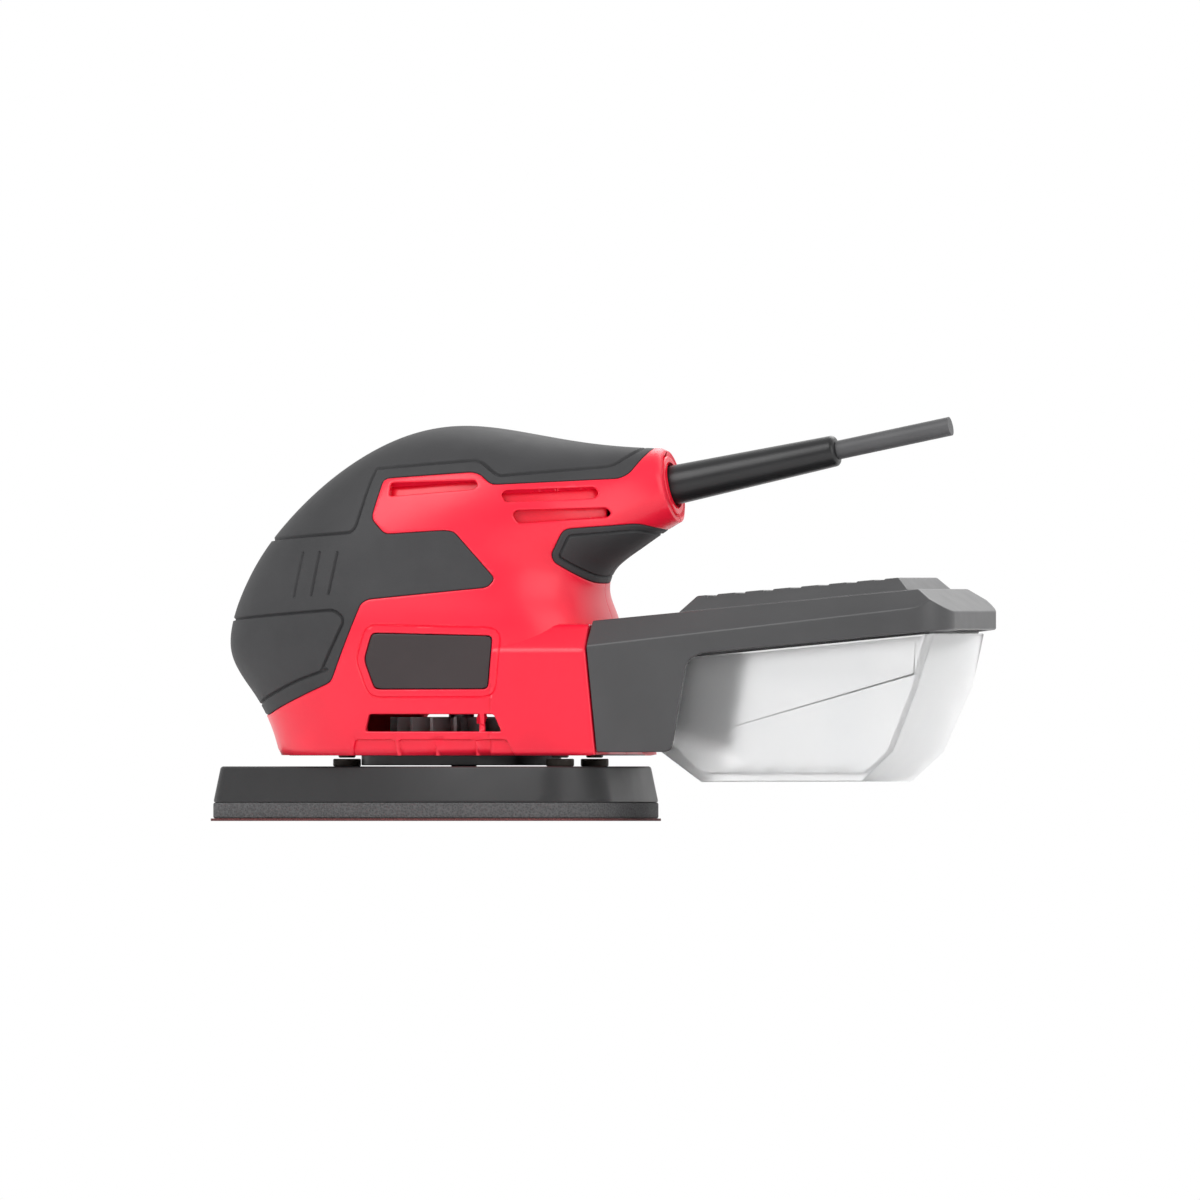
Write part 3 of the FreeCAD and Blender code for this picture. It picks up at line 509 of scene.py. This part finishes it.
def cut_mesh(bm, field, level):
    """New edges where a field of the surface passes a level."""
    bm.verts.index_update()
    values = field(np.array([v.co[:] for v in bm.verts])) - level
    values[np.abs(values) < ON_LINE] = 0.0
    on_line = [v for v in bm.verts if values[v.index] == 0.0]
    for edge in list(bm.edges):
        a, b = edge.verts
        fa, fb = values[a.index], values[b.index]
        if fa * fb < 0:
            on_line.append(bmesh.utils.edge_split(edge, a, fa / (fa - fb))[1])
    bmesh.ops.connect_verts(bm, verts=on_line)


def cut_along(bm, line, margin=1.5):
    """New edges along a line of the side view: the middle of a groove or the edge of an opening."""
    points = np.array([v.co[:] for v in bm.verts])
    close = line_distance(points, line) < 2 * margin
    nearby = {v for v, c in zip(bm.verts, close) if c}
    for start, end in zip(line, line[1:]):
        (x0, z0), (x1, z1) = start, end
        length = math.dist(start, end)
        ax, az = (x1 - x0) / length, (z1 - z0) / length
        side = {}
        for v in nearby:
            dx, dz = v.co.x - x0, v.co.z - z0
            if -margin < dx * ax + dz * az < length + margin:
                across = dz * ax - dx * az
                side[v] = 0.0 if abs(across) < ON_LINE else across
        on_line = [v for v, across in side.items() if across == 0.0]
        for edge in {e for v in side for e in v.link_edges}:
            a, b = edge.verts
            if a in side and b in side and side[a] * side[b] < 0:
                on_line.append(bmesh.utils.edge_split(edge, a, side[a] / (side[a] - side[b]))[1])
        nearby.update(on_line)
        bmesh.ops.connect_verts(bm, verts=on_line)


def drop_faces(bm, field):
    centres = np.array([f.calc_center_median()[:] for f in bm.faces])
    outside = field(centres) < 0
    gone = [f for f, out in zip(list(bm.faces), outside) if out]
    bmesh.ops.delete(bm, geom=gone, context="FACES")


def rear_face_x(z):
    return REAR_FACE_X + (REAR_FACE_Z - z) * REAR_FACE_LEAN


def shoulder_half_width(x):
    front, rear = SHOULDER_HALF_WIDTH
    return front + (rear - front) * (x - SHOULDER_X) / (SHOULDER_REAR_X - SHOULDER_X)


UNDERSIDE_QUADS = 14       # from the middle of the shoulder's underside to its corner


def shoulder_outline(w):
    """Half of the shoulder's end outline, from the middle of its underside to the middle of its top."""
    bend = SHOULDER_TOP - CHAMFER
    corners = [(0.0, BODY_Z), (w, BODY_Z), (w, bend), (w - CHAMFER, SHOULDER_TOP), (0.0, SHOULDER_TOP)]
    soft = arc_corners(corners[1:], 1.2, closed=False)
    runs = [(corners[0], soft[0], UNDERSIDE_QUADS), (soft[0], soft[1], 30)]
    runs += [(a, b, 8 if math.dist(a, b) > 4 else 1) for a, b in zip(soft[1:-1], soft[2:-1])]
    runs.append((soft[-2], soft[-1], 24))
    points = [np.array(corners[0])]
    for a, b, count in runs:
        points += [np.array(a) + (np.array(b) - np.array(a)) * (i + 1) / count for i in range(count)]
    return np.array(points)


def shoulder_grid():
    """Points of the +Y half of the shoulder: its side and top, then its leaning rear face."""
    stations, edge_r, ring_count = 30, 0.8, 14
    rows = []
    for i in range(stations + 1):
        f = i / stations
        outline = shoulder_outline(shoulder_half_width(SHOULDER_X + f * (8.0 - SHOULDER_X)))
        x = SHOULDER_X + f * (rear_face_x(outline[:, 1]) - edge_r - SHOULDER_X)
        rows.append(np.column_stack((x, outline)))
        if i < stations:
            rows[-1][:UNDERSIDE_QUADS] = np.nan        # no skin under the shoulder: the base plate closes it
    outline = rows[-1][:, 1:]
    centre = np.array((0.0, SPOUT_Z))
    inwards = centre - outline
    inwards /= np.linalg.norm(inwards, axis=1)[:, None]
    for step in (1, 2, 3):
        turn = math.radians(30 * step)
        ring = outline + inwards * edge_r * (1 - math.cos(turn))
        rows.append(np.column_stack((rear_face_x(ring[:, 1]) - edge_r * (1 - math.sin(turn)), ring)))
    rim = outline + inwards * edge_r
    for i in range(1, ring_count + 1):
        ring = rim + (centre - inwards * SPOUT_R - rim) * i / ring_count
        rows.append(np.column_stack((rear_face_x(ring[:, 1]), ring)))
    return np.array(rows)


def shoulder_distance(points):
    """Positive outside the shoulder."""
    x, y, z = points.T
    side = np.abs(y) - shoulder_half_width(x)
    bevel = (side + z - (SHOULDER_TOP - CHAMFER)) / math.sqrt(2)
    return np.maximum.reduce([side, SHOULDER_X - x, x - rear_face_x(z), bevel, z - SHOULDER_TOP])


def grid_mesh(grid):
    bm = bmesh.new()
    rows, columns = grid.shape[:2]
    solid = ~np.isnan(grid[:, :, 0])
    verts = [[bm.verts.new(grid[a, b]) if solid[a, b] else None for b in range(columns)]
             for a in range(rows)]
    for a in range(rows - 1):
        for b in range(columns - 1):
            corners = (verts[a][b], verts[a + 1][b], verts[a + 1][b + 1], verts[a][b + 1])
            if all(corners):
                bm.faces.new(corners)
    bmesh.ops.recalc_face_normals(bm, faces=bm.faces)
    if sum(f.normal.dot(f.calc_center_median() - HOUSING_MIDDLE) for f in bm.faces) < 0:
        bmesh.ops.reverse_faces(bm, faces=bm.faces)
    return bm


def grid_tree(grid):
    bm = grid_mesh(grid)
    tree = BVHTree.FromBMesh(bm)
    bm.free()
    return tree


GRID = half_grid()
SHOULDER = shoulder_grid()
LOFT_TREE = grid_tree(GRID)


def loft_distance(points):
    """Positive outside the smooth part of the housing."""
    found = []
    for x, y, z in points:
        place = Vector((x, abs(y), z))
        near, normal = LOFT_TREE.find_nearest(place)[:2]
        found.append((place - near).dot(normal))
    return np.array(found)


def half_skin(grid, region, levels, relief, side, lines=()):
    """One half of the skin: the region where its field is positive, with relief in its surface."""
    bm = grid_mesh(grid)
    for line in lines:
        cut_along(bm, line)
    cut_mesh(bm, region, 0.0)
    drop_faces(bm, region)
    for field, steps in levels:
        for step in steps:
            cut_mesh(bm, field, step)
    bm.normal_update()
    depth = relief(np.array([v.co[:] for v in bm.verts]))
    normals = [v.normal.copy() for v in bm.verts]
    for vert, normal, d in zip(bm.verts, normals, depth):
        vert.co -= normal * float(d)
    loose = [v for v in bm.verts if not v.link_faces]
    bmesh.ops.delete(bm, geom=loose, context="VERTS")
    if side < 0:
        for vert in bm.verts:
            vert.co.y = -vert.co.y
        bmesh.ops.reverse_faces(bm, faces=bm.faces)
    return bm


def add_piece(name, bm, material, body, nodes=(), smooth_deg=35):
    """Scales a mesh from millimetres, gives it its material and lets it ride on its body."""
    bmesh.ops.scale(bm, vec=(MM, MM, MM), verts=bm.verts)
    mesh = bpy.data.meshes.new(name)
    bm.to_mesh(mesh)
    bm.free()
    mesh.shade_smooth()
    mesh.set_sharp_from_angle(angle=math.radians(smooth_deg))
    piece = bpy.data.objects.new(name, mesh)
    bpy.context.collection.objects.link(piece)
    mesh.materials.append(MATERIALS[material])
    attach(piece, body)
    if nodes:
        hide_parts(*nodes)
    return piece


def thicken(piece, thickness):
    """A wall of even thickness inwards from the outer surface."""
    modifier = piece.modifiers.new("wall", "SOLIDIFY")
    modifier.thickness = thickness * MM
    modifier.offset = -1
    modifier.use_rim = True


PARTING_STEPS = (0.12, 0.3)
EDGE_STEPS = (0.12, 0.3, 0.55)
GROOVE_STEPS = (0.2, 0.4, 0.6)
GRIP_OUTLINE = arc_corners(GRIP_EDGE, 1.6)
REAR_GRIP_OUTLINE = arc_corners(REAR_GRIP_EDGE, 2.0)
VENT_OUTLINES = [arc_corners(v, 0.9) for v in VENTS]
BADGE_OUTLINE = arc_corners(BADGE, 1.6)
WINDOW_OUTLINE = arc_corners(WINDOW, 0.8)
GROOVE_LINES = [arc_corners(g, 2.2, closed=False) for g in GROOVES]
BADGE_FRAME = 2.5          # from the plate to the shallow line round it


def parting_distance(points):
    return np.abs(points[:, 1])


def parting_relief(points):
    return rounded(parting_distance(points), 0.3) * 0.6


def grip_distance(points):
    return polygon_distance(points, GRIP_OUTLINE)


def rear_grip_distance(points):
    return polygon_distance(points, REAR_GRIP_OUTLINE)


def groove_distance(points):
    return np.minimum.reduce([line_distance(points, g) for g in GROOVE_LINES])


def bar_distance(points):
    return np.minimum.reduce([line_distance(points, list(b)) for b in GRIP_BARS])


def badge_distance(points):
    return polygon_distance(points, BADGE_OUTLINE)


def window_distance(points):
    """Positive inside the window's openings, on both sides of its rib."""
    rib = np.abs(points[:, 0] - sum(WINDOW_RIB) / 2) - (WINDOW_RIB[1] - WINDOW_RIB[0]) / 2
    return np.minimum(polygon_distance(points, WINDOW_OUTLINE), rib)


def skirt_distance(points):
    """Positive inside the shallow panels of the skirt."""
    ribs = [np.abs(points[:, 0] - x) - 0.5 for x in SKIRT_RIBS]
    return np.minimum.reduce([polygon_distance(points, SKIRT)] + ribs)


def collar_distance(points):
    """Distance back from the flat end of the collar."""
    back = (np.array(COLLAR_POS) - points) @ np.array(CORD_DIR)
    return np.where(points[:, 0] > 12, back, FAR_OUTSIDE)


def red_distance(points):
    """Positive where the red moulding is not covered or open."""
    fields = [-grip_distance(points), -rear_grip_distance(points), -badge_distance(points),
              -window_distance(points), switch_distance(points)]
    fields += [-polygon_distance(points, v) for v in VENT_OUTLINES]
    return np.minimum.reduce(fields)


def red_relief(points):
    depth = rounded(red_distance(points), 0.5) + parting_relief(points)
    depth += rounded(points[:, 2] - BODY_Z, 0.6) + rounded(collar_distance(points), 0.8)
    depth += channel(np.abs(badge_distance(points) + BADGE_FRAME), 0.4, 0.35)
    return depth + np.clip(skirt_distance(points) / 0.3, 0, 1) * 0.9


def front_grip_relief(points):
    depth = rounded(grip_distance(points), 0.55) + rounded(switch_distance(points), 0.55)
    depth += parting_relief(points)
    depth += channel(groove_distance(points), 0.6, 0.75)
    return depth + channel(bar_distance(points), 0.6, 0.6)


def rear_grip_relief(points):
    inset = np.abs(rear_grip_distance(points) - 2.2)
    return (rounded(rear_grip_distance(points), 0.55) + parting_relief(points)
            + channel(inset, 0.5, 0.65))


def make_grips(side, word):
    def region(points):
        field = np.minimum(grip_distance(points), switch_distance(points))
        return field if side < 0 else np.minimum(field, screw_distance(points))
    levels = [(region, EDGE_STEPS), (parting_distance, PARTING_STEPS),
              (groove_distance, GROOVE_STEPS), (bar_distance, GROOVE_STEPS)]
    skin = half_skin(GRID, region, levels, front_grip_relief, side,
                     GROOVE_LINES + [list(b) for b in GRIP_BARS])
    thicken(add_piece("front_grip_" + word, skin, "soft_grip", "root", ["grip_" + word]), SKIN - 0.15)
    levels = [(rear_grip_distance, EDGE_STEPS + (1.7, 1.95, 2.2, 2.45, 2.7)),
              (parting_distance, PARTING_STEPS)]
    skin = half_skin(GRID, rear_grip_distance, levels, rear_grip_relief, side)
    thicken(add_piece("handle_grip_" + word, skin, "soft_grip", "root", ["rear_grip_" + word]),
            SKIN - 0.15)


def spout_distance(points):
    """Positive outside the round hole for the spout, in the rear face."""
    x, y, z = points.T
    return np.where(x > -10, np.hypot(y, z - SPOUT_Z) - SPOUT_R, FAR_OUTSIDE)


def make_red_shell(side, word):
    def uncovered(points):
        field = red_distance(points)
        return field if side < 0 else np.minimum(field, screw_distance(points))

    def smooth_region(points):
        return np.minimum.reduce([uncovered(points), shoulder_distance(points) + 1.0,
                                  spout_distance(points)])

    def shoulder_region(points):
        return np.minimum(uncovered(points), loft_distance(points) + 1.0)

    frame_levels = [d - BADGE_FRAME for d in (-0.4, -0.2, 0.0, 0.2, 0.4)]
    levels = [(uncovered, EDGE_STEPS), (parting_distance, PARTING_STEPS),
              (skirt_distance, (0.02, 0.3)), (badge_distance, frame_levels)]
    rib = [[(x, WINDOW[0][1] - 1), (x, WINDOW[1][1] + 1)] for x in WINDOW_RIB]
    outlines = [o + o[:1] for o in VENT_OUTLINES + [WINDOW_OUTLINE, BADGE_OUTLINE]] + rib
    for name, grid, region in (("red_shell_", GRID, smooth_region),
                               ("red_shoulder_", SHOULDER, shoulder_region)):
        skin = half_skin(grid, region, levels, red_relief, side, outlines)
        thicken(add_piece(name + word, skin, "red_plastic", "root", ["housing_" + word]), WALL - 0.1)


def make_webs(word):
    """The inner ribs of the housing: the CAD piece's faces that lie deeper than its wall."""
    bm = cad_mesh("housing_" + word)
    centres = np.array([f.calc_center_median()[:] for f in bm.faces])
    deep = (loft_distance(centres) < -WALL - 0.1) | (shoulder_distance(centres) < -WALL - 0.1)
    bmesh.ops.delete(bm, geom=[f for f, keep in zip(list(bm.faces), deep) if not keep], context="FACES")
    add_piece("housing_webs_" + word, bm, "red_plastic", "root", ["housing_" + word])


def make_badge_plate(side, word):
    def region(points):
        return badge_distance(points) - 0.15

    def relief(points):
        return 0.3 + rounded(region(points), 0.4)
    skin = half_skin(GRID, region, [(region, (0.12, 0.4))], relief, side)
    thicken(add_piece("side_plate_" + word, skin, "dark_plate", "root", ["badge_" + word]), 1.0)


# ---------------------------------------------------------------- turned parts round the cord
def turned(name, profile, material, nodes=(), segments=64):
    """A body of revolution about the cord's axis; the profile is (distance from the collar, radius)."""
    bm = bmesh.new()
    up = Vector((-CORD_DIR.z, 0, CORD_DIR.x))
    rings = []
    for i in range(segments):
        turn = 2 * math.pi * i / segments
        out = up * math.cos(turn) + Vector((0, 1, 0)) * math.sin(turn)
        rings.append([bm.verts.new(COLLAR_POS + CORD_DIR * d + out * r) for d, r in profile])
    count = len(profile)
    for i in range(segments):
        here, after = rings[i], rings[(i + 1) % segments]
        for k in range(count):
            bm.faces.new((here[k], here[(k + 1) % count], after[(k + 1) % count], after[k]))
    bmesh.ops.recalc_face_normals(bm, faces=bm.faces)
    return add_piece(name, bm, material, "root", nodes)


def make_boot_and_collar():
    end = [(BOOT_LENGTH - BOOT_END_R + BOOT_END_R * math.sin(a), 3.35 + BOOT_END_R * math.cos(a))
           for a in (math.radians(15 * i) for i in range(7))]
    sleeve = [(-11, BOOT_BORE_R), (-11, 8.2), (-8.3, 8.2), (-8.3, 6.45), (-4.0, 6.35)]
    turned("boot_sleeve", sleeve + end + [(BOOT_LENGTH, BOOT_BORE_R)], "black_rubber", ["cord_boot"])
    turned("collar_ring", [(-8.0, COLLAR_BORE_R), (-8.0, 9.4), (-0.5, 9.4), (-0.2, 9.1), (-0.15, 8.8),
                           (-0.15, 8.0), (-0.3, 7.5), (-0.7, COLLAR_BORE_R)], "red_plastic")


# ---------------------------------------------------------------- CAD pieces with rounded edges
def cad_mesh(node):
    """A copy of a CAD piece's mesh, in millimetres, with its faces joined."""
    bm = bmesh.new()
    bm.from_mesh(frame["nodes"][node].data)
    bmesh.ops.scale(bm, vec=(1 / MM, 1 / MM, 1 / MM), verts=bm.verts)
    bmesh.ops.remove_doubles(bm, verts=bm.verts, dist=0.002)
    return bm


def round_edges(node, radius, steps=2, sharp_deg=30):
    """The CAD piece's form with every sharp edge and inner corner rounded off."""
    bm = cad_mesh(node)
    bmesh.ops.dissolve_limit(bm, angle_limit=math.radians(0.4), verts=bm.verts, edges=bm.edges)
    sharp = [e for e in bm.edges
             if e.is_manifold and e.calc_face_angle() > math.radians(sharp_deg)]
    bmesh.ops.bevel(bm, geom=sharp, offset=radius, offset_type="OFFSET", segments=steps, profile=0.5,
                    affect="EDGES", clamp_overlap=False, material=-1)
    piece = add_piece(node + "_form", bm, SLOTS[node], body_of(frame["nodes"][node])[0], [node])
    piece.modifiers.new("even_faces", "WEIGHTED_NORMAL").keep_sharp = True
    return piece


# Radius of each piece's rounded edges. Larger ones left spikes on the rocker and the box frame.
EDGE_RADIUS = {
    "dust_box_frame": 0.5, "vent_cover": 0.45, "dust_cup": 0.5, "cup_seal": 0.25, "filter_frame": 0.3,
    "platen": 0.7, "base_plate": 0.35, "dust_seal": 0.3, "platen_posts": 0.5, "post_washers": 0.4,
    "housing_screws": 0.25, "dust_spout": 0.3, "spout_seal": 0.3, "vent_baffles": 0.15,
    "stator_core": 0.25, "stator_coils": 0.9, "lower_bearing": 0.35, "upper_bearing": 0.35,
    "bearing_cup": 0.3, "eccentric_bearing": 0.35, "brush_holders": 0.2, "carbon_brushes": 0.15,
    "motor_shaft": 0.3, "armature_core": 0.2, "armature_windings": 1.0, "commutator": 0.2,
    "fan": 0.15, "eccentric": 0.4, "eccentric_screw": 0.3, "switch_frame": 0.4,
    "switch_rocker": 0.15, "capacitor": 0.7, "cord_clamp": 0.4, "backing_pad": 0.5,
    "sanding_sheet": 0.12,
}


def make_rounded_parts():
    return {node: round_edges(node, radius) for node, radius in EDGE_RADIUS.items()}


make_stage()
make_light("key", (-0.55, -0.9, 0.9), 0.9, 9)
make_light("fill", (0.9, -0.7, 0.5), 0.9, 4)
make_light("rim", (0.1, 0.9, 0.9), 0.8, 5)
make_camera()
give_cad_materials()
make_cord()
make_boot_and_collar()
for half, half_name in ((-1, "left"), (1, "right")):
    make_grips(half, half_name)
    make_red_shell(half, half_name)
    make_webs(half_name)
    make_badge_plate(half, half_name)
make_rounded_parts()
